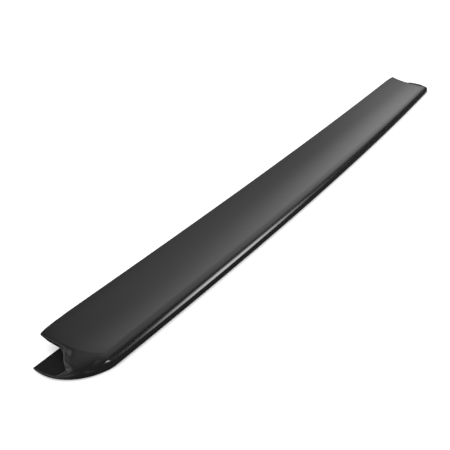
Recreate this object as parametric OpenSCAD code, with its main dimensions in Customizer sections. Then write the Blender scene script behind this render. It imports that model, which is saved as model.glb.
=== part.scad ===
// Slip-over trailing-edge extension for a rear spoiler: one moulded shell.
// Units are millimetres. X runs along the length, +Y points forward towards
// the car, Z is up. The flat underside lies on Z = 0 and the part is centred
// on X = 0 and on the middle of its own depth in Y.

/* [Overall] */
// Length of the top panel between its two end edges
top_length = 1180; // [900:5:1500]
// Depth of the top panel at mid-length, from trailing face to front edge
top_depth = 102; // [85:0.5:130]
// Depth of the underside at mid-length, from trailing face to front edge
under_depth = 88; // [78:0.5:96]
// Height of the front edge of the top panel at mid-length
front_height = 27; // [22:0.25:36]
// Height at which the lines of panel and trailing face would meet
nose_height = 16; // [13:0.1:19]
// How much lower that height is at the ends than at mid-length
nose_drop = 1.8; // [0:0.1:3]

/* [Curves along the length] */
// How far the ends of the trailing edge lie forward of its middle
rear_bow = 14.5; // [4:0.25:20]
// How far the ends of the top front edge lie forward of its middle
front_bow = 12.2; // [2:0.2:20]
// How far the ends of the underside front edge lie forward of its middle
under_bow = 5.5; // [0:0.25:12]
// How much lower the front edge is at the ends than at mid-length
front_drop = 3.3; // [0:0.1:5]

/* [Top panel] */
// Depth of the hollow that the top panel has across its width
top_hollow = 5.3; // [2:0.1:6]
// How far back the end edge slants between its front and rear corner
end_slant = 17; // [5:0.5:24]
// How far the end edge swells outwards between its corners
end_swell = 2.3; // [0:0.1:5]
// Length of the rounding at each front corner, along the front edge
corner_length = 34; // [12:0.5:45]
// Depth of the rounding at each front corner, across the panel
corner_depth = 3.8; // [2:0.1:9]

/* [Trailing edge] */
// Depth of the rounded rim where the top panel turns down
rim_depth = 15; // [10:0.5:18]
// How far the rim falls towards the trailing face
rim_fall = 0.4; // [0:0.1:1.5]
// Height up the trailing face at which the rim ends
rim_foot = 7; // [6:0.1:9]
// Radius where the trailing face turns under
toe_radius = 4; // [3.9:0.1:5]
// How far the top of the trailing face leans forward
face_lean = 2.5; // [0:0.1:5]

/* [Ends] */
// How far each lower end reaches past the end edge of the top panel
foot_reach = 32.2; // [20:0.2:40]
// Length over which the lower outline sweeps round to the end
foot_sweep = 66; // [50:0.5:90]
// Depth over which the lower outline sweeps round to the end
foot_run = 60; // [45:0.5:68]
// How far the lower front corner is tucked in again
foot_tuck = 2; // [0:0.1:5]
// How round the end wall is between crease and foot (1 is a flat slope)
wall_crown = 2.2; // [1.4:0.05:2.6]
// Radius of the crease between top panel and end wall
crease_radius = 2.8; // [2.6:0.05:3.1]
// Radius at the end of the trailing face
rim_end_radius = 3.6; // [3:0.05:3.8]
// Radius between end wall and underside
foot_radius = 2.7; // [2.5:0.05:3]

/* [End slots] */
// Distance of the closed end of each slot from the trailing edge
slot_start = 32.5; // [28:0.5:38]
// Length of the rounded part of the slot at its closed end
slot_round = 17.5; // [15:0.5:22]
// Height of the rim left above the slot
slot_top_rim = 5; // [4.8:0.1:5.6]
// Height of the rim left below the slot, next to its closed end
slot_foot_rim = 4.6; // [4.4:0.1:5]
// Width of the rolled lip at the closed end of the slot
lip_reach = 8; // [6:0.1:9]
// Angle through which the lip rolls inwards at the closed end
lip_turn = 80; // [60:1:85]

/* [Walls] */
// Thickness of the moulding
wall = 2.6; // [2:0.05:2.8]
// Thickness left at the front edges of top panel and underside
edge_thickness = 1.8; // [1.2:0.05:2]

/* [Hidden] */

plastic = [0.07, 0.07, 0.07];

half = top_length / 2;
// Turn and width of the slot edge where it runs along the rims
rim_turn = 40;
rim_roll = 1.6;
// Height down to which the lip may roll, and the share of its width that it
// loses towards the upper rim
lip_floor = 4;
lip_taper = 0.6;
// Share of the roll that is left along the upper rim
top_share = 0.4;
// Share of rim height, crease and thickness that is left at the front corners
corner_share = 0.35;
// Length over which rim, crease and thickness fade towards that corner
corner_fade = 15;
foot_fade = 30;
// Part of the panel width over which the front edges get thinner
edge_fade = 0.14;
// Weight of the rounded corners drawn as conic arcs
conic = 0.72;
// Depths between which the end wall turns from sloping to upright
upright_from = 33;
upright_to = 73;
// Steepness of the upright part
upright = 3;
// Squareness of the closed end of the slot (1 is an ellipse)
slot_squareness = 0.95;

// Numbers of steps round the section and along the part
n_corner = 6;
n_free = 9;
n_deck = 9;
n_rim = 6;
n_face = 2;
n_toe = 4;
n_back = 5;
n_front = 7;
n_lip = 5;
n_wall = 6;
n_crease = 4;
n_span = 9;

function clamp01(t) = min(1, max(0, t));
function smooth(t) = clamp01(t) * clamp01(t) * (3 - 2 * clamp01(t));
function mix(a, b, t) = a * (1 - t) + b * t;
function unit(v) = v / max(norm(v), 1e-9);

// Conic arc from a to c with its corner at b
function arc_at(a, b, c, t) =
    let (u = (1 - t) * (1 - t), v = 2 * conic * t * (1 - t), w = t * t)
    (a * u + b * v + c * w) / (u + v + w);

// Section lines at station q: 0 is mid-length, 1 is the end of the top panel
function rear_y(q) = rear_bow * q * q;
function face_y(q) = rear_y(q) + face_lean;
function front_y(q) = top_depth + front_bow * q * q;
function under_y(q) = under_depth + under_bow * q * q;
function front_z(q) = front_height - front_drop * q * q;
function deck_y(c, q) = mix(face_y(q), front_y(q), c);
function nose_z(q) = nose_height - nose_drop * q * q;
function deck_z(c, q) =
    mix(nose_z(q), front_z(q), c) - 4 * top_hollow * c * (1 - c);

// Shares of the panel width where the named parts of the section begin
end_width = front_y(1) - face_y(1);
c_corner = 1 - corner_depth / end_width;
slot_deep_y = rear_y(1) + slot_start;
slot_open_y = slot_deep_y + slot_round;
c_slot = (slot_open_y - face_y(1)) / end_width;
c_rim = rim_depth / end_width;
under_width = under_y(1) - rear_y(1);

deck_shares = concat(
    [for (k = [0 : n_corner]) mix(c_corner, 1, sin(90 * (1 - k / n_corner)))],
    [for (k = [1 : n_free]) mix(c_corner, c_slot, k / n_free)],
    [for (k = [1 : n_deck]) mix(c_slot, c_rim, k / n_deck)]
);
k_deck = len(deck_shares);
k_slot = n_corner + n_free;
k_rim = k_deck + n_rim;
k_face = k_rim + n_face;
k_toe = k_face + n_toe;
k_back = k_toe + n_back;
m = k_back + n_front;

// Corners of the trailing face in a section
function rim_corner(q) = [face_y(q), deck_z(c_rim, q) - rim_fall];
function toe_corner(q) = [rear_y(q), 0];
function face_dir(q) = unit(toe_corner(q) - rim_corner(q));
function rim_end(q) = mix(toe_corner(q), rim_corner(q), rim_foot / rim_corner(q)[1]);
function toe_start(q) = toe_corner(q) - face_dir(q) * toe_radius;
function toe_end(q) = toe_corner(q) + [toe_radius, 0];
function slot_share(q) =
    (slot_open_y - rear_y(1) - toe_radius) / (under_width - toe_radius);

// Point j of the section at station q, from the top front edge round the
// trailing face to the front edge of the underside
function sec(j, q) =
    j < k_deck ? [deck_y(deck_shares[j], q), deck_z(deck_shares[j], q)]
    : j < k_rim ? arc_at([deck_y(c_rim, q), deck_z(c_rim, q)], rim_corner(q),
                         rim_end(q), (j - k_deck + 1) / n_rim)
    : j < k_face ? mix(rim_end(q), toe_start(q), (j - k_rim + 1) / n_face)
    : j < k_toe ? arc_at(toe_start(q), toe_corner(q), toe_end(q),
                         (j - k_face + 1) / n_toe)
    : let (s = j < k_back ? slot_share(q) * (j - k_toe + 1) / n_back
                          : mix(slot_share(q), 1, (j - k_back + 1) / n_front))
      [mix(toe_end(q)[0], under_y(q), s), 0];

// Section direction into the material at point j
function sec_in(j, q) =
    let (a = sec(max(j - 1, 0), q), b = sec(min(j + 1, m - 1), q),
         d = unit(b - a))
    [-d[1], d[0]];

// Plan outline of the top panel (distance from mid-length) at share c
function top_x(c) =
    let (k = clamp01((c - c_corner) / (1 - c_corner)))
    half - end_slant * (1 - c) + 4 * end_swell * c * (1 - c)
    - corner_length * (1 - sqrt(max(0, 1 - k * k)));

// Plan outline of the foot at depth y
function foot_x(y) =
    let (d = clamp01((y - rear_y(1)) / foot_run),
         e = clamp01((y - rear_y(1) - foot_run) / (under_width - foot_run)))
    half + foot_reach - foot_sweep * (1 - sqrt(1 - (1 - d) * (1 - d)))
    - foot_tuck * e * e;

// Share of the way from crease to foot outline at depth y and height z
function lean(y, zeta) =
    let (w = smooth((y - rear_y(1) - upright_from) / (upright_to - upright_from)),
         crown = mix(wall_crown, 1, w),
         e = mix(1, upright, w),
         s = 1 - pow(1 - clamp01(zeta), crown))
    pow(s, e) / (pow(s, e) + pow(1 - s, e));

function share_of(y) = clamp01((y - face_y(1)) / end_width);
function wall_x(y, z) =
    let (c = share_of(y), h = lean(y, 1 - z / deck_z(c, 1)))
    mix(top_x(min(c, c_corner)), foot_x(y), h);

// How much is left of rim, crease and thickness towards a front corner
function corner_left(j) =
    let (s = j < k_deck ? (1 - deck_shares[j]) * end_width
           : (under_y(1) - sec(j, 1)[0]))
    j >= k_deck && j < k_toe ? 1
    : mix(corner_share, 1, smooth(s / (j < k_deck ? corner_fade : foot_fade)));

// Radius of the edge between section and end wall at point j
function edge_radius(j) =
    let (r = j < k_deck ? crease_radius
           : j < k_rim ? mix(crease_radius, rim_end_radius, (j - k_deck + 1) / n_rim)
           : j < k_face ? rim_end_radius
           : j < k_toe ? mix(rim_end_radius, foot_radius, (j - k_face + 1) / n_toe)
           : foot_radius)
    r * corner_left(j);

// Thickness at point j of the section
function thickness(j) =
    let (s = j < k_deck ? (1 - deck_shares[j]) / edge_fade
           : j < k_toe ? 1
           : (under_y(1) - sec(j, 1)[0]) / end_width / edge_fade)
    mix(edge_thickness, wall, smooth(s));
function end_thickness(j) = min(thickness(j), 0.85 * edge_radius(j));
function crease_thickness(j) = j < k_slot ? end_thickness(j) : thickness(j);

// Plan direction out of the end at point j
function out_dir(j) =
    let (c = j < k_deck ? deck_shares[j] : 0,
         d = 0.002,
         a = top_x(max(c - d, 0)),
         b = top_x(min(c + d, 1)),
         w = (min(c + d, 1) - max(c - d, 0)) * end_width)
    j < k_deck ? unit([w, a - b]) : [1, 0];

// Corner line of the end: where section and end wall would meet unrounded
corner = [for (j = [0 : m - 1])
    let (p = sec(j, 1),
         x = j < k_deck ? top_x(deck_shares[j]) : wall_x(p[0], p[1]),
         s = sec(j, x / half))
    [x, s[0], s[1]]];

// Point of the end wall straight in from the corner line at point j
function wall_point(j, depth) =
    let (p = corner[j], e = out_dir(j), n = sec_in(j, corner[j][0] / half),
         y = p[1] + n[0] * depth, z = p[2] + n[1] * depth,
         h = lean(p[1], 1 - z / p[2]),
         reach = (foot_x(p[1]) - p[0]) * h)
    j < k_slot
    ? [p[0] + e[0] * reach, p[1] + e[1] * reach, z]
    : [wall_x(y, z), y, z];

// Points that run along the rims above and below the slot
function on_rims(j) = j < k_slot || j >= k_back;
function rim_height(j) = j < k_deck ? slot_top_rim : slot_foot_rim;

// Round closed end of the slot: its angle and its edge in the end wall, from
// where the lip starts (s = 0) to where it ends (s = 1)
function slot_angle(j) = 90 - 180 * (j - k_slot) / (k_back - k_slot);
function bend(a) = sign(a) * pow(abs(a), slot_squareness);
function top_roll(s) = rim_roll * (1 - s * top_share);
function slot_yz(j, s) =
    let (a = slot_angle(j),
         reach = lip_reach * (1 - lip_taper * max(sin(a), 0)),
         y = slot_open_y - (slot_round - s * reach) * bend(cos(a)),
         top = deck_z(share_of(y), 1) - slot_top_rim + top_roll(s),
         low = slot_foot_rim - rim_roll * (1 - s))
    [y, mix(low, top, (1 + bend(sin(a))) / 2)];
function edge_point(j, s) =
    let (r = edge_radius(j), p = slot_yz(j, s),
         roll = j < k_deck ? top_roll(s) : rim_roll * (1 - s),
         d = corner_left(j) * (rim_height(j) - roll))
    on_rims(j) ? wall_point(j, max(d, 1.04 * r)) : [wall_x(p[0], p[1]), p[0], p[1]];
lips = [for (j = [0 : m - 1]) edge_point(j, 0)];

// Point of the end wall between its start (t = 0) and the lip (t = 1)
starts = [for (j = [0 : m - 1]) wall_point(j, edge_radius(j))];
function wall_at(j, t) =
    let (p = mix(starts[j], lips[j], t), r = edge_radius(j),
         d = max(corner_left(j) * (rim_height(j) - rim_roll), 1.04 * r))
    on_rims(j) ? wall_point(j, mix(r, d, t)) : [wall_x(p[1], p[2]), p[1], p[2]];

// Direction into the wall at point p of the end wall on line j
function wall_in(j, p) =
    let (d = 0.3, e = out_dir(j),
         sy = (wall_x(p[1] + d, p[2]) - wall_x(p[1] - d, p[2])) / (2 * d),
         sz = (wall_x(p[1], p[2] + d) - wall_x(p[1], p[2] - d)) / (2 * d))
    -unit([e[0], e[1] - sy, -sz]);
ins = [for (j = [0 : m - 1]) wall_in(j, lips[j])];

// Rolled lip at point j: the wall carried on and bent inwards, t = 1 is its end
lip_ends = [for (j = [0 : m - 1]) edge_point(j, 1)];
function lip_angle(j) =
    mix(rim_turn, lip_turn, on_rims(j) ? 0 : sin(90 - abs(slot_angle(j))));
function lip_fall(j) =
    j >= k_back ? 1 : mix(1, top_share, j < k_slot ? 1 : max(sin(slot_angle(j)), 0));
function lip_at(j, t) =
    let (a = lip_angle(j),
         s = sin(a * t) / sin(a),
         free = max(lip_ends[j][2] - lip_floor, 0),
         deep = min(norm(lip_ends[j] - lips[j]) * tan(a / 2) * lip_fall(j), free))
    edge_point(j, s) - [0, 0, deep * (1 - cos(a * t)) / (1 - cos(a))];
function lip_in(j, t) =
    let (a = lip_angle(j) * t, n = ins[j],
         v = lip_ends[j] - lips[j], w = unit(v - n * (v * n)))
    n * cos(a) - w * sin(a);

// Inner end of the edge rounding, on the section surface
function inset(j) =
    let (p = corner[j], e = out_dir(j), r = edge_radius(j),
         x = p[0] - e[0] * r, y = p[1] - e[1] * r, q = x / half,
         c = (y - face_y(q)) / (front_y(q) - face_y(q)))
    j < k_deck ? [x, min(y, front_y(q)), deck_z(min(c, 1), q)]
    : concat([p[0] - r], sec(j, (p[0] - r) / half));
insets = [for (j = [0 : m - 1]) inset(j)];

// Rings of one end half, from the lip to mid-length. Each entry is a point of
// the outer surface, the direction into the material and the thickness there.
function span_point(j, x) = concat([x], sec(j, x / half));
function span_in(j, x) = concat([0], sec_in(j, x / half));
half_rings = concat(
    [for (i = [0 : n_lip - 1]) [for (j = [0 : m - 1]) let (t = 1 - i / n_lip)
        [lip_at(j, t), lip_in(j, t), end_thickness(j)]]],
    [for (i = [0 : n_wall - 1]) [for (j = [0 : m - 1])
        let (p = wall_at(j, 1 - i / n_wall)) [p, wall_in(j, p), end_thickness(j)]]],
    [for (i = [0 : n_crease - 1]) [for (j = [0 : m - 1])
        let (t = i / n_crease, a = wall_in(j, starts[j]), b = span_in(j, insets[j][0]))
        [arc_at(starts[j], corner[j], insets[j], t), unit(mix(a, b, t)),
         mix(end_thickness(j), crease_thickness(j), t)]]],
    [for (i = [0 : n_span]) [for (j = [0 : m - 1])
        let (x = insets[j][0] * (1 - i / n_span))
        [i == 0 ? insets[j] : span_point(j, x), span_in(j, x),
         i == 0 ? crease_thickness(j) : thickness(j)]]]
);
n_half = len(half_rings);

// The same rings on the inner surface. Along the rims and the ends of the slot
// the inside runs straight from the lip to the section, elsewhere it follows the
// wall
function straight(j) = on_rims(j) ? 1 : smooth((abs(slot_angle(j)) - 40) / 40);
function inner_point(e) = e[0] + e[1] * e[2];
n_end = n_lip + n_wall + n_crease;
half_inner = [for (i = [0 : n_half - 1]) [for (j = [0 : m - 1])
    let (p = inner_point(half_rings[i][j]), left = 1 - i / n_end,
         q = mix(inner_point(half_rings[n_end][j]), inner_point(half_rings[0][j]), left),
         v = mix(p, q, straight(j)))
    i < n_end ? [v[0], v[1], max(v[2], thickness(j) + 0.4 * left)] : p]];
function far(p) = [-p[0], p[1], p[2]];
outer = concat(
    [for (r = half_rings) [for (e = r) far(e[0])]],
    [for (i = [n_half - 2 : -1 : 0]) [for (e = half_rings[i]) e[0]]]
);
inner = concat(
    [for (r = half_inner) [for (p = r) far(p)]],
    [for (i = [n_half - 2 : -1 : 0]) half_inner[i]]
);
n = len(outer);

ys = [for (r = outer) for (p = r) p[1]];
y_middle = (min(ys) + max(ys)) / 2;

points = concat([for (r = outer) for (p = r) p], [for (r = inner) for (p = r) p]);
function o(i, j) = i * m + j;
function s(i, j) = n * m + i * m + j;
function quad(a, b, c, d) = [[a, b, c], [a, c, d]];
faces = concat(
    [for (i = [0 : n - 2]) for (j = [0 : m - 2])
        each quad(o(i, j), o(i + 1, j), o(i + 1, j + 1), o(i, j + 1))],
    [for (i = [0 : n - 2]) for (j = [0 : m - 2])
        each quad(s(i, j), s(i, j + 1), s(i + 1, j + 1), s(i + 1, j))],
    [for (i = [0 : n - 2]) each quad(o(i + 1, 0), o(i, 0), s(i, 0), s(i + 1, 0))],
    [for (i = [0 : n - 2])
        each quad(o(i, m - 1), o(i + 1, m - 1), s(i + 1, m - 1), s(i, m - 1))],
    [for (j = [0 : m - 2]) each quad(o(0, j), o(0, j + 1), s(0, j + 1), s(0, j))],
    [for (j = [0 : m - 2])
        each quad(o(n - 1, j + 1), o(n - 1, j), s(n - 1, j), s(n - 1, j + 1))]
);

// The moulded shell: top panel, trailing face, underside and slotted end walls
module spoiler_shell() {
    color(plastic)
        translate([0, -y_middle, 0])
            polyhedron(points = points, faces = faces, convexity = 6);
}

spoiler_shell();
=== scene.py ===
"""Looks of the slip-over trailing-edge extension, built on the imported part.

The whole object is one moulded shell, so the scene holds one piece. It follows
the surface of the construction, sampled more finely, with rounded edges and a
wider rear corner. Lengths of the piece are worked out in millimetres and
stored in metres.
"""

import logging
import math
from dataclasses import dataclass
from enum import Enum
from typing import Dict, List, Sequence, Tuple, Union

import bpy
import numpy as np
from mathutils import Matrix, Vector


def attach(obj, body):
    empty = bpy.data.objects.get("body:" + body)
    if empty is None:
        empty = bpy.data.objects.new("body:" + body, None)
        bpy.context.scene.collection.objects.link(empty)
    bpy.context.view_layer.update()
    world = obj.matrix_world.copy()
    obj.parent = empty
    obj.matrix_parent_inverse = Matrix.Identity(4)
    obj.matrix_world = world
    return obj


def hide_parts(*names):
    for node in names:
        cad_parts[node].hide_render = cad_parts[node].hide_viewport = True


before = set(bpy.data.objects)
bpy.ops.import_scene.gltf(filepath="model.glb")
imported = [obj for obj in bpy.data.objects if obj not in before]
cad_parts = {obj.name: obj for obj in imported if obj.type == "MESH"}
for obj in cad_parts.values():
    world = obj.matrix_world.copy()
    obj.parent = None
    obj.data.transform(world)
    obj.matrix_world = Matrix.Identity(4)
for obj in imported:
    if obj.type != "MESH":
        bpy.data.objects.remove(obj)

LOG = logging.getLogger("scene")
MM = 0.001
TINY = 1e-9
WHITE = (1.0, 1.0, 1.0, 1.0)
Array = np.ndarray
Triple = Tuple[float, float, float]
Quad = Tuple[float, float, float, float]
Source = Union[float, bpy.types.NodeSocket]


@dataclass(frozen=True)
class ShellSize:
    """Sizes of the moulding in millimetres, and shares and angles in degrees.

    They are the construction's, apart from the rear corner's radius, the
    slot's start, rounding and roll, and the blend of wall and rim. Those are
    the scene's own and follow the photograph more closely.
    """

    # Top panel and underside: length, depths, heights
    top_length: float = 1180.0
    top_depth: float = 102.0
    under_depth: float = 88.0
    front_height: float = 27.0
    nose_height: float = 16.0
    nose_drop: float = 1.8
    # Curves along the length, and the hollow across the panel
    rear_bow: float = 14.5
    front_bow: float = 12.2
    under_bow: float = 5.5
    front_drop: float = 3.3
    top_hollow: float = 5.3
    # End edge of the panel: slant, swell and the rounding of its front corner
    end_slant: float = 17.0
    end_swell: float = 2.3
    corner_length: float = 34.0
    corner_depth: float = 3.8
    # Nose: the rim over the trailing face, the lean of the face and its toe
    rim_depth: float = 15.0
    rim_fall: float = 0.4
    rim_foot: float = 7.0
    toe_radius: float = 4.0
    face_lean: float = 2.5
    # Outline of the foot, which sweeps round to the end and is tucked in again
    foot_reach: float = 32.2
    foot_sweep: float = 66.0
    foot_run: float = 60.0
    foot_tuck: float = 2.0
    # End wall: crowned behind, upright between these depths, and how steep
    wall_crown: float = 2.2
    upright_from: float = 33.0
    upright_to: float = 73.0
    upright: float = 3.0
    # Radii between end wall and panel, rear corner, trailing face, underside
    crease_radius: float = 2.8
    rear_radius: float = 8.0
    rim_end_radius: float = 3.6
    foot_radius: float = 2.7
    # Slot in the end wall, and the rims above and below it
    slot_start: float = 28.5
    slot_round: float = 21.5
    slot_squareness: float = 0.95
    slot_top_rim: float = 5.0
    slot_foot_rim: float = 4.6
    # Rolled lip: reach and turn at the closed end, turn and width at the rims
    lip_reach: float = 14.0
    lip_turn: float = 80.0
    lip_taper: float = 0.2
    lip_floor: float = 4.0
    rim_turn: float = 40.0
    rim_roll: float = 1.6
    # Wall, and its thickness and fade at the front edges
    wall: float = 2.6
    edge_thickness: float = 1.8
    edge_fade: float = 0.14
    # Shares that are left at the upper rim and the front corners, and fades
    top_share: float = 0.4
    corner_share: float = 0.35
    corner_fade: float = 15.0
    foot_fade: float = 30.0
    # Weight of the conic arcs, and share over which wall and rim blend
    conic: float = 0.72
    rim_blend: float = 0.2
    # Rims start clear of the rounding, and the end is thinner than its radius
    rim_clear: float = 1.04
    end_share: float = 0.85
    # Angles over which the inside goes from the lip to the rims
    inside_from: float = 40.0
    inside_over: float = 40.0
    # How much higher than the wall's thickness the inside starts at the lip
    inside_lift: float = 0.4
    # Small steps in width and depth over which slopes are measured
    share_probe: float = 0.002
    depth_probe: float = 0.3


@dataclass(frozen=True)
class Steps:
    """How many steps the surface takes along each stretch."""

    corner: int = 14
    free: int = 18
    deck: int = 30
    rim: int = 18
    face: int = 4
    toe: int = 10
    back: int = 14
    front: int = 16
    lip: int = 10
    wall: int = 22
    crease: int = 10
    span: int = 34


def clamp01(t: Array) -> Array:
    """Limits values to the range from 0 to 1."""
    return np.clip(t, 0.0, 1.0)


def smooth(t: Array) -> Array:
    """Soft step from 0 to 1, three t squared minus two t cubed."""
    k = clamp01(t)
    return k * k * (3.0 - 2.0 * k)


def squarish(v: Array, power: float) -> Array:
    """Size of v to a power with the sign of v, which bends a sine or cosine."""
    return np.sign(v) * np.abs(v) ** power


def unit(v: Array) -> Array:
    """Scales vectors in the last axis to length one."""
    return v / np.maximum(np.linalg.norm(v, axis=-1, keepdims=True), TINY)


class Section:
    """Cross-section of the moulding: top panel, rim, trailing face, underside.

    Its lines are numbered from the front edge of the panel round the nose to
    the front edge of the underside.
    """

    def __init__(self, size: ShellSize, steps: Steps) -> None:
        """Works out the lines of the section.

        Args:
            size: sizes of the moulding.
            steps: steps per stretch.
        """
        self.size, self.steps = size, steps
        s = size
        self.half = s.top_length / 2
        self.end_width = self.front_y(1.0) - self.face_y(1.0)
        self.under_width = self.under_y(1.0) - self.rear_y(1.0)
        self.slot_open_y = self.rear_y(1.0) + s.slot_start + s.slot_round
        # Shares of the panel's width at corner, slot and rim
        self.c_corner = 1 - s.corner_depth / self.end_width
        self.c_slot = (self.slot_open_y - self.face_y(1.0)) / self.end_width
        self.c_rim = s.rim_depth / self.end_width
        quarter = np.linspace(0, 1, steps.corner + 1)
        free = np.linspace(0, 1, steps.free + 1)[1:]
        deck = np.linspace(0, 1, steps.deck + 1)[1:]
        shares = np.concatenate([
            self.c_corner + (1 - self.c_corner) * np.cos(np.pi / 2 * quarter),
            self.c_corner + (self.c_slot - self.c_corner) * free,
            self.c_slot + (self.c_rim - self.c_slot) * deck,
        ])
        # Number of the first line after each stretch
        self.k_slot = steps.corner + steps.free
        self.k_deck = len(shares)
        self.k_rim = self.k_deck + steps.rim
        self.k_face = self.k_rim + steps.face
        self.k_toe = self.k_face + steps.toe
        self.k_back = self.k_toe + steps.back
        self.total = self.k_back + steps.front
        self.line = np.arange(self.total)
        self.on_deck = self.line < self.k_deck
        self.share = np.append(shares, np.zeros(self.total - self.k_deck))
        self.slot_share = (self.slot_open_y - self.rear_y(1.0) - s.toe_radius) / (
            self.under_width - s.toe_radius)

    def rear_y(self, q: Array) -> Array:
        """Depth of the trailing edge at station q, a parabola."""
        return self.size.rear_bow * q * q

    def face_y(self, q: Array) -> Array:
        """Depth of the top of the trailing face at station q."""
        return self.rear_y(q) + self.size.face_lean

    def front_y(self, q: Array) -> Array:
        """Depth of the front edge of the panel at station q, a parabola."""
        return self.size.top_depth + self.size.front_bow * q * q

    def under_y(self, q: Array) -> Array:
        """Depth of the front edge of the underside at station q, a parabola."""
        return self.size.under_depth + self.size.under_bow * q * q

    def deck_y(self, c: Array, q: Array) -> Array:
        """Depth on the panel at share c of its width."""
        return self.face_y(q) + (self.front_y(q) - self.face_y(q)) * c

    def deck_z(self, c: Array, q: Array) -> Array:
        """Height of the panel: a straight rise less a parabola's hollow.

        Args:
            c: share of the panel's width, 0 at the nose and 1 in front.
            q: station, 0 at mid-length and 1 at the panel's end.

        Returns:
            Height in millimetres.
        """
        s = self.size
        front = s.front_height - s.front_drop * q * q
        nose = s.nose_height - s.nose_drop * q * q
        return nose + (front - nose) * c - 4 * s.top_hollow * c * (1 - c)

    def arc(self, a: Array, b: Array, c: Array, t: Array) -> Array:
        """Conic arc: the mean of three points with weights square, double, square.

        Args:
            a: start point.
            b: corner point that the arc bends towards.
            c: end point.
            t: position from 0 to 1.

        Returns:
            Points of the arc.
        """
        u, v, w = (1 - t) ** 2, 2 * self.size.conic * t * (1 - t), t * t
        return (a * u + b * v + c * w) / (u + v + w)

    def points(self, q: Array, shift: int = 0) -> Array:
        """Points of the section, each line j at its own station q[j].

        The panel follows deck_y and deck_z, a conic arc turns over the rim, a
        straight face leans down, a second arc turns under and the rest is flat.

        Args:
            q: station of each line, 0 at mid-length and 1 at the panel's end.
            shift: takes the point that many lines further on instead.

        Returns:
            Array of shape (lines, 2) with depth and height.
        """
        s, n = self.size, self.steps
        j = np.clip(self.line + shift, 0, self.total - 1)
        rear = np.stack([self.rear_y(q), 0 * q], -1)
        rim_corner = np.stack([self.face_y(q), self.deck_z(self.c_rim, q) - s.rim_fall], -1)
        down = unit(rear - rim_corner)
        rim_end = rear + (rim_corner - rear) * s.rim_foot / rim_corner[:, 1:]
        toe_start = rear - down * s.toe_radius
        toe_end = rear + np.array([s.toe_radius, 0.0])
        rim_start = np.stack([self.deck_y(self.c_rim, q), self.deck_z(self.c_rim, q)], -1)
        c = self.share[j]
        deck = np.stack([self.deck_y(c, q), self.deck_z(c, q)], -1)
        t_rim = clamp01((j - self.k_deck + 1) / n.rim)[:, None]
        t_face = clamp01((j - self.k_rim + 1) / n.face)[:, None]
        t_toe = clamp01((j - self.k_face + 1) / n.toe)[:, None]
        share = np.where(
            j < self.k_back,
            self.slot_share * (j - self.k_toe + 1) / n.back,
            self.slot_share + (1 - self.slot_share) * (j - self.k_back + 1) / n.front)
        flat = np.stack([toe_end[:, 0] + (self.under_y(q) - toe_end[:, 0]) * share, 0 * q], -1)
        out = np.where((j < self.k_toe)[:, None], self.arc(toe_start, rear, toe_end, t_toe), flat)
        out = np.where((j < self.k_face)[:, None], rim_end + (toe_start - rim_end) * t_face, out)
        out = np.where((j < self.k_rim)[:, None],
                       self.arc(rim_start, rim_corner, rim_end, t_rim), out)
        return np.where((j < self.k_deck)[:, None], deck, out)

    def inward(self, q: Array) -> Array:
        """Directions into the material, square to the section at station q[j]."""
        d = unit(self.points(q, 1) - self.points(q, -1))
        return np.stack([-d[:, 1], d[:, 0]], -1)


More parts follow.
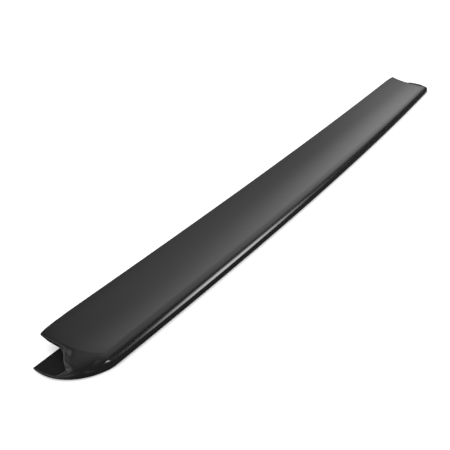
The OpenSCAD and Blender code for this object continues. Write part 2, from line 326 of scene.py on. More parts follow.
class EndShell(Section):
    """Adds the flared end wall with its slot and rolled lip to the section."""

    def __init__(self, size: ShellSize, steps: Steps) -> None:
        """Works out crease, wall and lip of one end.

        Args:
            size: sizes of the moulding.
            steps: steps per stretch.
        """
        super().__init__(size, steps)
        self.end_section = self.points(np.ones(self.total))
        x = np.where(self.on_deck, self.top_x(self.share),
                     self.wall_x(self.end_section[:, 0], self.end_section[:, 1]))
        self.corner = np.column_stack([x, self.points(x / self.half)])
        self.out_dir = self._plan_direction()
        self.left = self._corner_left()
        self.radius = self._edge_radius() * self.left
        self.depth_in = self.inward(x / self.half)
        self.starts = self.wall_point(self.radius)
        self.on_rims = (self.line < self.k_slot) | (self.line >= self.k_back)
        self.slot_angle = 90 - 180 * (self.line - self.k_slot) / (self.k_back - self.k_slot)
        self.lips = self.edge_point(0.0)
        self.lip_ends = self.edge_point(1.0)
        self.insets = self._insets()
        self.into = self.wall_in(self.lips)
        spread = np.where(self.on_rims, 0.0, np.cos(np.radians(self.slot_angle)))
        self.lip_angle = np.radians(
            size.rim_turn + (size.lip_turn - size.rim_turn) * clamp01(spread))

    def top_x(self, c: Array) -> Array:
        """Plan outline of the panel's end.

        A straight slant plus a parabola's swell, less a quarter ellipse at the
        front corner.

        Args:
            c: share of the panel's width.

        Returns:
            Distance from mid-length.
        """
        s = self.size
        k = clamp01((c - self.c_corner) / (1 - self.c_corner))
        return (self.half - s.end_slant * (1 - c) + 4 * s.end_swell * c * (1 - c)
                - s.corner_length * (1 - np.sqrt(np.maximum(0, 1 - k * k))))

    def foot_x(self, y: Array) -> Array:
        """Plan outline of the underside's end: a quarter ellipse, then a tuck.

        Args:
            y: depth.

        Returns:
            Distance from mid-length.
        """
        s = self.size
        d = clamp01((y - self.rear_y(1.0)) / s.foot_run)
        e = clamp01((y - self.rear_y(1.0) - s.foot_run) / (self.under_width - s.foot_run))
        return (self.half + s.foot_reach - s.foot_sweep * (1 - np.sqrt(1 - (1 - d) ** 2))
                - s.foot_tuck * e * e)

    def lean(self, y: Array, zeta: Array) -> Array:
        """Share of the way out from crease to foot.

        The share h is one less the height that is left, to the power of the
        crown. In front, h to a power is compared with the rest of h to the same
        power, which makes the wall upright.

        Args:
            y: depth.
            zeta: share of the way down, 0 at the crease and 1 at the foot.

        Returns:
            Share from 0 to 1.
        """
        s = self.size
        w = smooth((y - self.rear_y(1.0) - s.upright_from) / (s.upright_to - s.upright_from))
        crown = s.wall_crown + (1 - s.wall_crown) * w
        e = 1 + (s.upright - 1) * w
        h = 1 - (1 - clamp01(zeta)) ** crown
        a, b = h ** e, (1 - h) ** e
        return a / (a + b)

    def wall_x(self, y: Array, z: Array) -> Array:
        """Distance of the end wall from mid-length.

        The panel's outline plus the lean's share of the way to the foot's.

        Args:
            y: depth.
            z: height.

        Returns:
            Distance from mid-length.
        """
        c = clamp01((y - self.face_y(1.0)) / self.end_width)
        h = self.lean(y, 1 - z / self.deck_z(c, 1.0))
        top = self.top_x(np.minimum(c, self.c_corner))
        return top + (self.foot_x(y) - top) * h

    def _plan_direction(self) -> Array:
        """Direction out of the end in plan, square to the panel's outline.

        Returns:
            Unit vector of each line, straight along the length off the panel.
        """
        d = self.size.share_probe
        low, high = np.maximum(self.share - d, 0), np.minimum(self.share + d, 1)
        v = unit(np.stack([(high - low) * self.end_width,
                           self.top_x(low) - self.top_x(high)], -1))
        return np.where(self.on_deck[:, None], v, np.array([1.0, 0.0]))

    def _corner_left(self) -> Array:
        """How much of rim and rounding is left towards a front corner.

        Returns:
            Share of each line, which falls in a soft step near the corners.
        """
        s, j = self.size, self.line
        deck = (1 - self.share) * self.end_width / s.corner_fade
        foot = (self.under_y(1.0) - self.end_section[:, 0]) / s.foot_fade
        k = smooth(np.where(self.on_deck, deck, foot))
        left = s.corner_share + (1 - s.corner_share) * k
        return np.where((j >= self.k_deck) & (j < self.k_toe), 1.0, left)

    def _edge_radius(self) -> Array:
        """Radius between section and end wall before it fades at the corners.

        It widens behind the slot with the square of the way to the rim, and
        narrows again over the rim and the toe.

        Returns:
            Radius of each line.
        """
        s, j, n = self.size, self.line, self.steps
        back = clamp01((self.c_slot - self.share) / (self.c_slot - self.c_rim)) ** 2
        deck = s.crease_radius + (s.rear_radius - s.crease_radius) * back
        rim = s.rear_radius + (s.rim_end_radius - s.rear_radius) * smooth(
            (j - self.k_deck + 1) / n.rim)
        toe = s.rim_end_radius + (s.foot_radius - s.rim_end_radius) * (j - self.k_face + 1) / n.toe
        return np.select([self.on_deck, j < self.k_face, j < self.k_toe],
                         [deck, rim, toe], s.foot_radius)

    def thickness(self) -> Array:
        """Thickness of the moulding, thinner in a soft step at the front edges.

        Returns:
            Thickness of each line.
        """
        s = self.size
        foot = (self.under_y(1.0) - self.end_section[:, 0]) / self.end_width / s.edge_fade
        k = np.where(self.on_deck, (1 - self.share) / s.edge_fade,
                     np.where(self.line < self.k_toe, 1.0, foot))
        return s.edge_thickness + (s.wall - s.edge_thickness) * smooth(k)

    def wall_point(self, depth: Array) -> Array:
        """Points of the end wall straight in from the corner line by depth.

        In front of the slot the wall is followed square to the panel's outline
        instead, and the two are blended softly.

        Args:
            depth: distance of each line from the corner line.

        Returns:
            Points of shape (lines, 3).
        """
        p, e, n = self.corner, self.out_dir, self.depth_in
        y = p[:, 1] + n[:, 0] * depth
        z = p[:, 2] + n[:, 1] * depth
        ground = 1e-6
        zeta = np.where(p[:, 2] > ground, 1 - z / np.maximum(p[:, 2], ground), 0.0)
        reach = (self.foot_x(p[:, 1]) - p[:, 0]) * self.lean(p[:, 1], zeta)
        rim = np.column_stack([p[:, 0] + e[:, 0] * reach, p[:, 1] + e[:, 1] * reach, z])
        rest = np.column_stack([self.wall_x(y, z), y, z])
        w = smooth((self.share - self.c_slot) / self.size.rim_blend)[:, None]
        return rest + (rim - rest) * w

    def rim_width(self, rolled: Array) -> Array:
        """Width of the rim in from the corner line, clear of the rounding.

        Args:
            rolled: share of the roll's width that is taken off the rim.

        Returns:
            Width at each line.
        """
        s = self.size
        height = np.where(self.on_deck, s.slot_top_rim, s.slot_foot_rim)
        return np.maximum(self.left * (height - s.rim_roll * rolled), s.rim_clear * self.radius)

    def slot_edge(self, t: float) -> Array:
        """Edge of the slot in the end wall, a squarish half ellipse.

        Args:
            t: 0 where the lip starts, 1 where it ends.

        Returns:
            Depth and height of each line.
        """
        s = self.size
        a = np.radians(self.slot_angle)
        reach = s.lip_reach * (1 - s.lip_taper * np.maximum(np.sin(a), 0))
        bend = squarish(np.cos(a), s.slot_squareness)
        y = self.slot_open_y - (s.slot_round - t * reach) * bend
        c = clamp01((y - self.face_y(1.0)) / self.end_width)
        top = self.deck_z(c, 1.0) - s.slot_top_rim + s.rim_roll * (1 - t * s.top_share)
        low = s.slot_foot_rim - s.rim_roll * (1 - t)
        rise = (1 + squarish(np.sin(a), s.slot_squareness)) / 2
        return np.stack([y, low + (top - low) * rise], -1)

    def edge_point(self, t: float) -> Array:
        """Points of the slot's edge on the wall.

        Args:
            t: 0 where the lip starts, 1 where it ends.

        Returns:
            Points of shape (lines, 3).
        """
        rolled = np.where(self.on_deck, 1 - t * self.size.top_share, 1 - t)
        rims = self.wall_point(self.rim_width(rolled))
        yz = self.slot_edge(t)
        slot = np.column_stack([self.wall_x(yz[:, 0], yz[:, 1]), yz])
        return np.where(self.on_rims[:, None], rims, slot)

    def wall_at(self, t: float) -> Array:
        """Points of the wall between its rounding and the lip.

        Args:
            t: 0 at the rounding, 1 at the lip.

        Returns:
            Points of shape (lines, 3).
        """
        p = self.starts + (self.lips - self.starts) * t
        width = self.rim_width(np.ones(self.total))
        rims = self.wall_point(self.radius + (width - self.radius) * t)
        slot = np.column_stack([self.wall_x(p[:, 1], p[:, 2]), p[:, 1:]])
        return np.where(self.on_rims[:, None], rims, slot)

    def wall_in(self, p: Array) -> Array:
        """Directions into the wall, square to its slopes in depth and height.

        Args:
            p: points of the wall, shape (lines, 3).

        Returns:
            Unit vectors of shape (lines, 3).
        """
        d = self.size.depth_probe
        e = self.out_dir
        sy = (self.wall_x(p[:, 1] + d, p[:, 2]) - self.wall_x(p[:, 1] - d, p[:, 2])) / (2 * d)
        sz = (self.wall_x(p[:, 1], p[:, 2] + d) - self.wall_x(p[:, 1], p[:, 2] - d)) / (2 * d)
        return -unit(np.column_stack([e[:, 0], e[:, 1] - sy, -sz]))

    def lip_at(self, t: float) -> Array:
        """Points of the rolled lip: the wall carried on round an arc downwards.

        The way along the wall follows the sine of the angle turned, and the
        fall follows one less its cosine.

        Args:
            t: 0 where the lip leaves the wall, 1 at its free edge.

        Returns:
            Points of shape (lines, 3).
        """
        s, a = self.size, self.lip_angle
        way = np.sin(a * t) / np.sin(a)
        upper = np.where(self.line < self.k_slot, 1.0,
                         np.maximum(np.sin(np.radians(self.slot_angle)), 0))
        upper = np.where(self.line >= self.k_back, 0.0, upper)
        fall = 1 + (s.top_share - 1) * upper
        deep = np.linalg.norm(self.lip_ends - self.lips, axis=1) * np.tan(a / 2) * fall
        deep = np.minimum(deep, np.maximum(self.lip_ends[:, 2] - s.lip_floor, 0))
        points = np.stack([self.edge_point(float(k))[i] for i, k in enumerate(way)])
        points[:, 2] -= deep * (1 - np.cos(a * t)) / (1 - np.cos(a))
        return points

    def lip_in(self, t: float) -> Array:
        """Directions into the material of the lip, turned with it.

        Args:
            t: 0 where the lip leaves the wall, 1 at its free edge.

        Returns:
            Unit vectors of shape (lines, 3).
        """
        a = (self.lip_angle * t)[:, None]
        v = self.lip_ends - self.lips
        w = unit(v - self.into * np.sum(v * self.into, 1, keepdims=True))
        return self.into * np.cos(a) - w * np.sin(a)

    def _insets(self) -> Array:
        """Inner end of the rounding between section and end wall.

        Returns:
            Points of shape (lines, 3), one radius in from the corner line.
        """
        p, e, r = self.corner, self.out_dir, self.radius
        x, y = p[:, 0] - e[:, 0] * r, p[:, 1] - e[:, 1] * r
        q = x / self.half
        c = np.minimum((y - self.face_y(q)) / (self.front_y(q) - self.face_y(q)), 1)
        deck = np.column_stack([x, np.minimum(y, self.front_y(q)), self.deck_z(c, q)])
        straight = p[:, 0] - r
        rest = np.column_stack([straight, self.points(straight / self.half)])
        return np.where(self.on_deck[:, None], deck, rest)

    def rings(self) -> Tuple[Array, Array]:
        """Rings of one half: lip, wall and rounding, then the span to the middle.

        Returns:
            Outer and inner points, each of shape (rings, lines, 3).
        """
        s, n = self.size, self.steps
        thick = self.thickness()
        end = np.minimum(thick, s.end_share * self.radius)
        crease = np.where(self.line < self.k_slot, end, thick)
        out: List[Array] = []
        inn: List[Array] = []

        def add(p: Array, d: Array, t: Array) -> None:
            """Adds a ring of points p and its inner ring, d times t further in."""
            out.append(p)
            inn.append(p + d * t[:, None])

        for i in range(n.lip):
            t = 1 - i / n.lip
            add(self.lip_at(t), self.lip_in(t), end)
        for i in range(n.wall):
            p = self.wall_at(1 - i / n.wall)
            add(p, self.wall_in(p), end)
        x0 = self.insets[:, 0]
        a = self.wall_in(self.starts)
        b = np.column_stack([np.zeros(self.total), self.inward(x0 / self.half)])
        for i in range(n.crease):
            t = i / n.crease
            add(self.arc(self.starts, self.corner, self.insets, np.array(t)),
                unit(a + (b - a) * t), end + (crease - end) * t)
        for i in range(n.span + 1):
            x = x0 * (1 - i / n.span)
            q = x / self.half
            p = self.insets if i == 0 else np.column_stack([x, self.points(q)])
            add(p, np.column_stack([np.zeros(self.total), self.inward(q)]),
                crease if i == 0 else thick)
        outer, inner = np.array(out), np.array(inn)
        # Along the rims the inside of the end goes straight to the span
        n_end = n.lip + n.wall + n.crease
        k = (np.arange(n_end) / n_end)[:, None, None]
        chord = inner[0] + (inner[n_end] - inner[0]) * k
        near_rims = smooth((np.abs(self.slot_angle) - s.inside_from) / s.inside_over)
        w = np.where(self.on_rims, 1.0, near_rims)[None, :, None]
        inner[:n_end] = inner[:n_end] * (1 - w) + chord * w
        lowest = thick[None, :] + s.inside_lift * (1 - k[:, :, 0])
        inner[:n_end, :, 2] = np.maximum(inner[:n_end, :, 2], lowest)
        return outer, inner

    def grids(self) -> Tuple[Array, Array]:
        """Outer and inner grids over the whole length, in metres, centred.

        Returns:
            Two arrays of shape (rings, lines, 3).
        """
        outer, inner = self.rings()
        middle = (outer[:, :, 1].min() + outer[:, :, 1].max()) / 2
        LOG.info("middle of the depth at %.4f mm", middle)
        made = []
        for half in (outer, inner):
            far = half * np.array([-1.0, 1.0, 1.0])
            g = np.concatenate([far, half[-2::-1]])
            made.append((g - np.array([0.0, middle, 0.0])) * MM)
        return made[0], made[1]


class MeshBuilder:
    """Collects points and four-sided faces and makes a smooth mesh object."""

    def __init__(self) -> None:
        """Starts with no points and no faces."""
        self.points: List[Array] = []
        self.faces: List[Array] = []
        self.inside: List[Array] = []
        self.count = 0

    def add(self, g: Array, inside: float) -> Array:
        """Adds a grid of points without faces.

        Args:
            g: points of shape (n, m, 3).
            inside: 1 on the inner side of the moulding, 0 on the outer.

        Returns:
            Index of each point, shape (n, m).
        """
        n, m = g.shape[:2]
        ids = self.count + np.arange(n * m).reshape(n, m)
        self.points.append(g.reshape(-1, 3))
        self.inside.append(np.full(n * m, inside))
        self.count += n * m
        return ids

    def sheet(self, ids: Array, flip: bool = False) -> None:
        """Adds faces between points that are there already.

        Args:
            ids: point numbers, shape (n, m).
            flip: turns the faces over.
        """
        a, b, c, d = ids[:-1, :-1], ids[1:, :-1], ids[1:, 1:], ids[:-1, 1:]
        order = (a, b, c, d) if flip else (a, d, c, b)
        self.faces.append(np.stack([v.ravel() for v in order], -1))

    def build(self, name: str) -> bpy.types.Object:
        """Makes the mesh object and links it.

        Args:
            name: name of object and mesh.

        Returns:
            The new object.
        """
        p = np.concatenate(self.points)
        f = np.concatenate(self.faces)
        mesh = bpy.data.meshes.new(name)
        mesh.from_pydata(p.tolist(), [], f.tolist())
        mesh.validate()
        mesh.polygons.foreach_set("use_smooth", np.ones(len(mesh.polygons), dtype=bool))
        side = mesh.attributes.new("inside", "FLOAT", "POINT")
        side.data.foreach_set("value", np.concatenate(self.inside).astype(np.float32))
        mesh.update()
        obj = bpy.data.objects.new(name, mesh)
        bpy.context.scene.collection.objects.link(obj)
        LOG.info("%s: %d points, %d faces", name, len(p), len(f))
        return obj


class Surface(Enum):
    """Named finishes of the object."""

    BLACK_MOULDING = "black_moulding"


class NodeGraph:
    """Short ways to add nodes to one node tree."""

    def __init__(self, tree: bpy.types.NodeTree) -> None:
        """Keeps the tree's nodes and links."""
        self.nodes, self.links = tree.nodes, tree.links

    def feed(self, socket: bpy.types.NodeSocket, value: Source) -> None:
        """Sets an input to a number or links it to an output.

        Args:
            socket: the input.
            value: number or output socket.
        """
        if isinstance(value, (int, float)):
            socket.default_value = value
        else:
            self.links.new(value, socket)

    def math(self, kind: str, first: Source, second: Source = 0.0) -> bpy.types.NodeSocket:
        """Adds a math node.

        Args:
            kind: operation.
            first: first value.
            second: second value.

        Returns:
            The output socket.
        """
        node = self.nodes.new("ShaderNodeMath")
        node.operation = kind
        self.feed(node.inputs[0], first)
        self.feed(node.inputs[1], second)
        return node.outputs[0]

    def product(self, *values: Source) -> bpy.types.NodeSocket:
        """Multiplies values with one another.

        Args:
            *values: numbers or sockets.

        Returns:
            The output socket.
        """
        made = values[0]
        for v in values[1:]:
            made = self.math("MULTIPLY", made, v)
        return made

    def dot(self, way: bpy.types.NodeSocket, axis: Vector) -> bpy.types.NodeSocket:
        """Part of a direction along an axis.

        Args:
            way: direction as a vector socket.
            axis: the axis.

        Returns:
            The output socket.
        """
        node = self.nodes.new("ShaderNodeVectorMath")
        node.operation = "DOT_PRODUCT"
        node.inputs[1].default_value = axis
        self.links.new(way, node.inputs[0])
        return node.outputs["Value"]

    def step(self, value: Source, low: Source, high: Source) -> bpy.types.NodeSocket:
        """Soft step of a value.

        Args:
            value: the value.
            low: where the step is 0.
            high: where the step is 1.

        Returns:
            The output socket.
        """
        node = self.nodes.new("ShaderNodeMapRange")
        node.interpolation_type = "SMOOTHSTEP"
        self.feed(node.inputs["Value"], value)
        self.feed(node.inputs["From Min"], low)
        self.feed(node.inputs["From Max"], high)
        return node.outputs["Result"]

    def blend(self, share: Source, first: Source, second: Source) -> bpy.types.NodeSocket:
        """Value that goes from first to second with the share.

        Args:
            share: share of the second value.
            first: value at share 0.
            second: value at share 1.

        Returns:
            The output socket.
        """
        node = self.nodes.new("ShaderNodeMix")
        node.data_type = "FLOAT"
        for socket, value in zip(node.inputs[0:1] + node.inputs[2:4], (share, first, second)):
            self.feed(socket, value)
        return node.outputs[0]


@dataclass(frozen=True)
class PlasticFinish:
    """As-moulded black plastic with a soft gloss and a very fine grain.

    The gloss is full on the nose and falls in a soft step towards the front
    edge, where it is lower still past the near end. That fall is painted shade:
    the real plastic is evenly glossy, and the lower gloss stands in for dimmer
    light towards the front edge. The inside has hardly any gloss.
    """

    colour: Triple = (0.0095, 0.0095, 0.0098)
    roughness: float = 0.17
    core_roughness: float = 0.6
    specular: float = 0.5
    core_specular: float = 0.03
    # Painted shade: gloss in front at the near end and past it, and where it falls, in metres
    painted_shade_specular: Tuple[float, float] = (0.36, 0.12)
    painted_shade_along: Tuple[float, float] = (-0.5, 0.1)
    painted_shade_across: Tuple[float, float] = (-0.045, 0.02)
    ior: float = 1.5
    grain_scale: float = 420.0
    grain_detail: float = 2.0
    grain_strength: float = 0.02
    grain_depth: float = 0.0004

    def material(self, name: str) -> bpy.types.Material:
        """Makes the node material.

        Args:
            name: name of the material.

        Returns:
            The material.
        """
        mat = bpy.data.materials.new(name)
        mat.use_nodes = True
        graph = NodeGraph(mat.node_tree)
        nodes, links = graph.nodes, graph.links
        shader = nodes["Principled BSDF"]
        shader.inputs["Base Color"].default_value = (*self.colour, 1.0)
        shader.inputs["IOR"].default_value = self.ior
        side = nodes.new("ShaderNodeAttribute")
        side.attribute_name = "inside"
        inside = side.outputs["Fac"]
        graph.feed(shader.inputs["Roughness"],
                   graph.blend(inside, self.roughness, self.core_roughness))
        where = nodes.new("ShaderNodeTexCoord")
        part = nodes.new("ShaderNodeSeparateXYZ")
        links.new(where.outputs["Object"], part.inputs[0])
        # Painted shade: the gloss falls in a soft step towards the front edge, lower still past
        # the near end, for dimmer light there
        along = graph.step(part.outputs["X"], *self.painted_shade_along)
        across = graph.step(part.outputs["Y"], *self.painted_shade_across)
        front = graph.blend(along, *self.painted_shade_specular)
        outer = graph.blend(across, self.specular, front)
        graph.feed(shader.inputs["Specular IOR Level"],
                   graph.blend(inside, outer, self.core_specular))
        grain = nodes.new("ShaderNodeTexNoise")
        grain.inputs["Scale"].default_value = self.grain_scale
        grain.inputs["Detail"].default_value = self.grain_detail
        bump = nodes.new("ShaderNodeBump")
        bump.inputs["Strength"].default_value = self.grain_strength
        bump.inputs["Distance"].default_value = self.grain_depth
        links.new(where.outputs["Object"], grain.inputs["Vector"])
        links.new(grain.outputs["Fac"], bump.inputs["Height"])
        links.new(bump.outputs["Normal"], shader.inputs["Normal"])
        return mat


FINISHES: Dict[Surface, PlasticFinish] = {Surface.BLACK_MOULDING: PlasticFinish()}


@dataclass(frozen=True)
class Moulding:
    """The one piece of the object, a shell with rounded edges.

    At the four front corners, where the rounded edge of the front meets that
    of a slot, a seam of about 0.6 mm is still open between the two.
    """

    size: ShellSize = ShellSize()
    steps: Steps = Steps()
    finish: Surface = Surface.BLACK_MOULDING
    # Steps round a cut edge, and its depth as a share of a half circle's
    edge_steps: int = 6
    edge_bulge: float = 0.35
    # Distance of the margin lines from the borders, in metres
    margin: float = 0.00015

    def _with_margins(self, g: Array) -> Array:
        """Adds a line of points close to each border, so that edges shade crisply.

        Args:
            g: grid of points, shape (n, m, 3).

        Returns:
            Grid with two more lines each way.
        """
        for _ in range(2):
            for end in (0, -1):
                a, b = g[end], g[1 if end == 0 else -2]
                length = np.linalg.norm(b - a, axis=-1, keepdims=True)
                line = a + (b - a) * np.minimum(self.margin / np.maximum(length, TINY), 0.5)
                g = np.insert(g, 1 if end == 0 else len(g) - 1, line, axis=0)
            g = np.swapaxes(g, 0, 1)
        return g

    def _band(self, a: Array, b: Array, out: Array) -> Array:
        """Rounded edge between two lines of points, half of a flat ellipse.

        Args:
            a: points of the outer edge, shape (k, 3).
            b: points of the inner edge, shape (k, 3).
            out: directions in which the edge bulges, shape (k, 3).

        Returns:
            Grid of shape (steps + 1, k, 3), from a to b.
        """
        middle, arm = (a + b) / 2, (a - b) / 2
        r = np.linalg.norm(arm, axis=1, keepdims=True)
        return np.array([middle + arm * math.cos(w) + out * r * self.edge_bulge * math.sin(w)
                         for w in np.linspace(0, math.pi, self.edge_steps + 1)])

    def build(self) -> bpy.types.Object:
        """Makes the moulding from its two grids and the edges between them.

        Returns:
            The mesh object.
        """
        outer, inner = (self._with_margins(g) for g in EndShell(self.size, self.steps).grids())
        made = MeshBuilder()
        o, s = made.add(outer, 0.0), made.add(inner, 1.0)
        made.sheet(o)
        made.sheet(s, flip=True)
        # Front edges of panel and underside, then the edges of the two slots
        edges = (
            (outer[:, 0], inner[:, 0], outer[:, 1], o[:, 0], s[:, 0], True),
            (outer[:, -1], inner[:, -1], outer[:, -2], o[:, -1], s[:, -1], False),
            (outer[0], inner[0], outer[1], o[0], s[0], False),
            (outer[-1], inner[-1], outer[-2], o[-1], s[-1], True),
        )
        for a, b, before, first, last, upright in edges:
            band = self._band(a, b, unit(a - before))
            ids = np.empty(band.shape[:2], dtype=int)
            ids[0], ids[-1] = first, last
            ids[1:-1] = made.add(band[1:-1], 0.0)
            made.sheet(ids if upright else ids.T)
        return made.build("spoiler_moulding")

    def dress(self, piece: bpy.types.Object) -> None:
        """Gives the moulding its finish, hangs it on the root and hides the imported shell.

        Args:
            piece: the mesh object.
        """
        piece.data.materials.append(FINISHES[self.finish].material(self.finish.value))
        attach(piece, "root")
        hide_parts("spoiler_shell")
        LOG.info("%s rides on the root in the slot %s", piece.name, self.finish.value)


@dataclass(frozen=True)
class CameraPlace:
    """Where the camera stands and looks, in metres and degrees."""

    place: Triple = (-0.91763, -0.44840, 0.46320)
    yaw: float = 54.967
    pitch: float = 29.096
    roll: float = -3.344
    # Focal length and sensor width in millimetres
    lens: float = 48.0
    sensor: float = 36.0
    clip: Tuple[float, float] = (0.01, 60.0)

    def build(self) -> bpy.types.Object:
        """Makes the camera and gives it to the scene.

        Returns:
            The camera object.
        """
        yaw, pitch, roll = (math.radians(v) for v in (self.yaw, self.pitch, self.roll))
        look = Vector((math.sin(yaw) * math.cos(pitch), math.cos(yaw) * math.cos(pitch),
                       -math.sin(pitch)))
        level = Vector((math.cos(yaw), -math.sin(yaw), 0.0))
        upright = level.cross(look)
        right = level * math.cos(roll) + upright * math.sin(roll)
        up = upright * math.cos(roll) - level * math.sin(roll)
        data = bpy.data.cameras.new("camera")
        data.lens, data.sensor_width = self.lens, self.sensor
        data.clip_start, data.clip_end = self.clip
        cam = bpy.data.objects.new("camera", data)
        bpy.context.scene.collection.objects.link(cam)
        turn = Matrix((right, up, -look)).transposed().to_4x4()
        cam.matrix_world = Matrix.Translation(Vector(self.place)) @ turn
        bpy.context.scene.camera = cam
        return cam


@dataclass(frozen=True)
class Pane:
    """A lit window, a soft ellipse in a direction given in degrees.

    The half axes long and short are in degrees too. The brightness falls
    smoothly from the inner share of them to the outer share.
    """

    brightness: float
    turn: float
    height: float
    tilt: float
    long: float
    short: float
    inner: float = 0.3
    outer: float = 1.45

    def light(self, graph: NodeGraph, way: bpy.types.NodeSocket) -> bpy.types.NodeSocket:
        """Brightness of the window in a direction.

        Args:
            graph: graph of the world.
            way: direction as a vector socket.

        Returns:
            Socket with the brightness.
        """
        a, h, tilt = (math.radians(v) for v in (self.turn, self.height, self.tilt))
        ahead = Vector((math.cos(h) * math.cos(a), math.cos(h) * math.sin(a), math.sin(h)))
        east = Vector((-math.sin(a), math.cos(a), 0.0))
        north = ahead.cross(east)
        along = east * math.cos(tilt) + north * math.sin(tilt)
        across = north * math.cos(tilt) - east * math.sin(tilt)
        parts = []
        for axis, size in ((along, self.long), (across, self.short)):
            part = graph.dot(way, axis / math.sin(math.radians(size)))
            parts.append(graph.product(part, part))
        far = graph.math("SQRT", graph.math("ADD", *parts))
        share = graph.step(far, self.outer, self.inner)
        facing = graph.math("GREATER_THAN", graph.dot(way, ahead), 0.0)
        return graph.product(share, facing, self.brightness)


@dataclass(frozen=True)
class Card:
    """A reflecting card that fills a soft-edged block of directions.

    It rises from nothing to full between the first two turns or heights and
    falls back between the last two, in degrees.
    """

    brightness: float
    turns: Quad
    heights: Quad

    def light(self, graph: NodeGraph, azimuth: Source, z: Source) -> bpy.types.NodeSocket:
        """Brightness of the card in a direction.

        Args:
            graph: graph of the world.
            azimuth: turn of the direction in radians.
            z: part of the direction that points up.

        Returns:
            Socket with the brightness.
        """
        t = [math.radians(v) for v in self.turns]
        h = [math.sin(math.radians(v)) for v in self.heights]
        return graph.product(graph.step(azimuth, t[0], t[1]), graph.step(azimuth, t[3], t[2]),
                             graph.step(z, h[0], h[1]), graph.step(z, h[3], h[2]),
                             self.brightness)


@dataclass(frozen=True)
class Mirrored:
    """What the gloss mirrors: a lit wall and cards in front, windows behind.

    Brightness is in shares of white. Directions are given by their parts along
    the part's axes, or by turn and height above the horizon in degrees.
    """

    wall: float = 1.14
    # Side edge of the wall: its place, where it bows, how much, how softly
    wall_edge: float = -0.02
    wall_edge_at: float = 0.55
    wall_edge_bow: float = 2.0
    wall_edge_low_bow: float = 0.2
    wall_softness: float = 0.16
    # The wall rises between these parts, and falls again above the last
    wall_foot: float = -0.05
    wall_clear: float = 0.36
    wall_top: float = 0.52
    # Rate of that fall ahead and aside, the turns between, and what is left
    fade_ahead: float = 1.0
    fade_aside: float = 1.65
    fade_from: float = 28.0
    fade_to: float = 42.0
    wall_least: float = 0.15
    # Turns between which the wall gets brighter or darker, and by how much
    bands: Tuple[Triple, ...] = (
        (50.0, 57.0, -0.35), (59.0, 65.0, 0.45), (67.0, 76.0, -0.75), (118.0, 138.0, 0.7))
    cards: Tuple[Card, ...] = (
        Card(1.3, turns=(82.0, 88.0, 112.0, 130.0), heights=(-20.0, -5.0, 57.0, 65.0)),
        Card(1.6, turns=(136.0, 145.0, 164.0, 174.0), heights=(56.0, 61.0, 66.0, 70.0)))
    windows: Tuple[Pane, ...] = (
        Pane(12.0, turn=-35.2, height=37.1, tilt=47.0, long=16.5, short=8.5),
        Pane(12.0, turn=-80.0, height=71.0, tilt=0.0, long=12.5, short=12.5))
    base: float = 0.05

    def wall_light(self, graph: NodeGraph, way: bpy.types.NodeSocket) -> bpy.types.NodeSocket:
        """Brightness of wall and cards, the brighter of them in each direction.

        Args:
            graph: graph of the world.
            way: direction as a vector socket.

        Returns:
            Socket with the brightness.
        """
        part = graph.nodes.new("ShaderNodeSeparateXYZ")
        graph.links.new(way, part.inputs[0])
        x, y, z = part.outputs
        rise = graph.math("SUBTRACT", z, self.wall_edge_at)
        dip = graph.math("MINIMUM", rise, 0.0)
        edge = graph.math("ADD", graph.product(rise, rise, self.wall_edge_bow),
                          graph.product(dip, dip, self.wall_edge_low_bow))
        past = graph.math("SUBTRACT", graph.math("SUBTRACT", y, edge), self.wall_edge)
        side = graph.step(past, -self.wall_softness, self.wall_softness)
        azimuth = graph.math("ARCTAN2", y, x)
        slope = graph.blend(graph.step(azimuth, math.radians(self.fade_from),
                                       math.radians(self.fade_to)),
                            -self.fade_ahead, -self.fade_aside)
        above = graph.math("MAXIMUM", graph.math("SUBTRACT", z, self.wall_top), 0.0)
        top = graph.math("ADD", graph.product(above, slope), 1.0)
        top = graph.math("MAXIMUM", top, self.wall_least)
        foot = graph.step(z, self.wall_foot, self.wall_clear)
        turn: Source = 1.0
        for start, end, gain in self.bands:
            band = graph.step(azimuth, math.radians(start), math.radians(end))
            turn = graph.math("ADD", graph.product(band, gain), turn)
        made = graph.product(side, top, foot, turn, self.wall)
        for card in self.cards:
            made = graph.math("MAXIMUM", made, card.light(graph, azimuth, z))
        return made

    def brightness(self, graph: NodeGraph, way: bpy.types.NodeSocket) -> bpy.types.NodeSocket:
        """Brightness in a direction: wall or card, a base and the windows added.

        Args:
            graph: graph of the world.
            way: direction as a vector socket.

        Returns:
            Socket with the brightness.
        """
        made = graph.math("ADD", self.wall_light(graph, way), self.base)
        for window in self.windows:
            made = graph.math("ADD", made, window.light(graph, way))
        return made


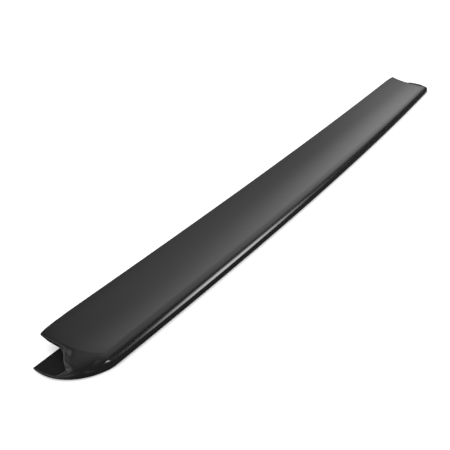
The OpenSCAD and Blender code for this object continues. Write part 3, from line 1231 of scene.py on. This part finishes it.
@dataclass(frozen=True)
class Studio:
    """Pale floor, white surroundings and the soft light of the photograph."""

    mirrored: Mirrored = Mirrored()
    floor_size: float = 9.0
    floor_drop: float = 0.0006
    # Grey of the floor, and how much of it the gloss mirrors
    floor_grey: float = 0.96
    floor_mirrored: float = 0.1
    floor_glow: float = 0.25
    # One large soft lamp above the open front: place, size and power
    lamp_place: Triple = (0.4, 0.9, 2.6)
    lamp_size: Tuple[float, float] = (3.0, 2.0)
    lamp_power: float = 12.0

    def world(self) -> None:
        """White surroundings; only the gloss sees wall, cards and windows."""
        world = bpy.data.worlds.new("surroundings")
        world.use_nodes = True
        bpy.context.scene.world = world
        graph = NodeGraph(world.node_tree)
        back = graph.nodes["Background"]
        way = graph.nodes.new("ShaderNodeTexCoord").outputs["Generated"]
        mirror = graph.nodes.new("ShaderNodeLightPath").outputs["Is Glossy Ray"]
        strength = graph.blend(mirror, 1.0, self.mirrored.brightness(graph, way))
        back.inputs["Color"].default_value = WHITE
        graph.feed(back.inputs["Strength"], strength)

    def floor(self) -> bpy.types.Object:
        """Pale plain floor below the object, dimmer where the gloss mirrors it.

        Returns:
            The floor object.
        """
        h = self.floor_size / 2
        mesh = bpy.data.meshes.new("floor")
        mesh.from_pydata([(-h, -h, 0), (h, -h, 0), (h, h, 0), (-h, h, 0)], [], [(0, 1, 2, 3)])
        obj = bpy.data.objects.new("floor", mesh)
        bpy.context.scene.collection.objects.link(obj)
        obj.location.z = -self.floor_drop
        mat = bpy.data.materials.new("floor_paper")
        mat.use_nodes = True
        graph = NodeGraph(mat.node_tree)
        shader = graph.nodes["Principled BSDF"]
        shader.inputs["Roughness"].default_value = 1.0
        shader.inputs["Specular IOR Level"].default_value = 0.0
        path = graph.nodes.new("ShaderNodeLightPath")
        grey = graph.blend(path.outputs["Is Glossy Ray"], self.floor_grey, self.floor_mirrored)
        graph.links.new(grey, shader.inputs["Base Color"])
        shader.inputs["Emission Color"].default_value = WHITE
        glow = graph.product(path.outputs["Is Camera Ray"], self.floor_glow)
        graph.feed(shader.inputs["Emission Strength"], glow)
        mesh.materials.append(mat)
        return obj

    def lamp(self) -> bpy.types.Object:
        """Large soft lamp that points at the object and isn't mirrored by it.

        Returns:
            The lamp object.
        """
        data = bpy.data.lights.new("sky_panel", "AREA")
        data.shape, data.energy = "RECTANGLE", self.lamp_power
        data.size, data.size_y = self.lamp_size
        lamp = bpy.data.objects.new("sky_panel", data)
        bpy.context.scene.collection.objects.link(lamp)
        lamp.location = self.lamp_place
        lamp.rotation_mode = "QUATERNION"
        lamp.rotation_quaternion = (-Vector(self.lamp_place)).to_track_quat("-Z", "Y")
        lamp.visible_glossy = False
        return lamp


def main() -> None:
    """Builds the looks."""
    logging.basicConfig(level=logging.INFO, format="%(name)s: %(message)s")
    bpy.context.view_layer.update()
    moulding = Moulding()
    moulding.dress(moulding.build())
    studio = Studio()
    studio.world()
    studio.floor()
    studio.lamp()
    CameraPlace().build()
    bpy.context.scene.view_settings.view_transform = "Standard"


if __name__ == "__main__":
    main()
